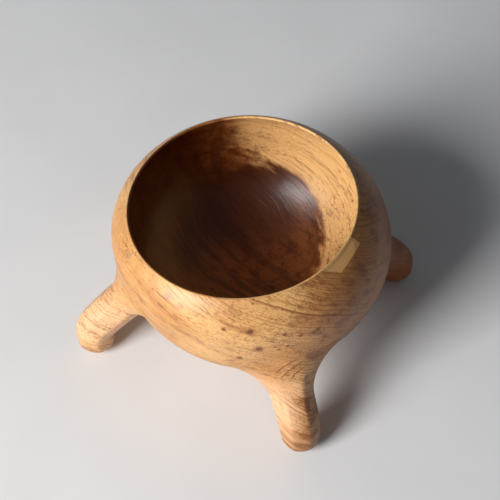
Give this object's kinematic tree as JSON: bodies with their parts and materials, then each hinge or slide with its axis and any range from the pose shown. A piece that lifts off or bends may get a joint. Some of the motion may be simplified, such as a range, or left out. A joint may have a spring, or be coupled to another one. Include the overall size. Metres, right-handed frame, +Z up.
{
  "type": "carved wooden footed bowl",
  "caption": "Deep round wooden bowl with a leaning belly, thin rounded lip and stout bent legs, hand carved with oiled grain.",
  "frame": {"origin": "on the ground, at the middle of the feet", "axes": "+Z up through the mouth of the bowl, -Y towards the front foot, +X to the side the belly swells to"},
  "size_m": [0.2926, 0.2926, 0.1621],
  "materials": {
    "bowl_wood": "oiled, satin, hand carved, grain runs on from bowl to leg",
    "leg_front_wood": "oiled, satin, hand carved, grain runs on from bowl to leg",
    "leg_left_wood": "oiled, satin, hand carved, grain runs on from bowl to leg",
    "leg_right_wood": "oiled, satin, hand carved, grain runs on from bowl to leg",
    "leg_back_wood": "oiled, satin, hand carved, grain runs on from bowl to leg"
  },
  "bodies": {
    "root": {"bowl": "bowl_wood", "leg_front": "leg_front_wood", "leg_left": "leg_left_wood", "leg_right": "leg_right_wood", "leg_back": "leg_back_wood"}
  },
  "joints": []
}
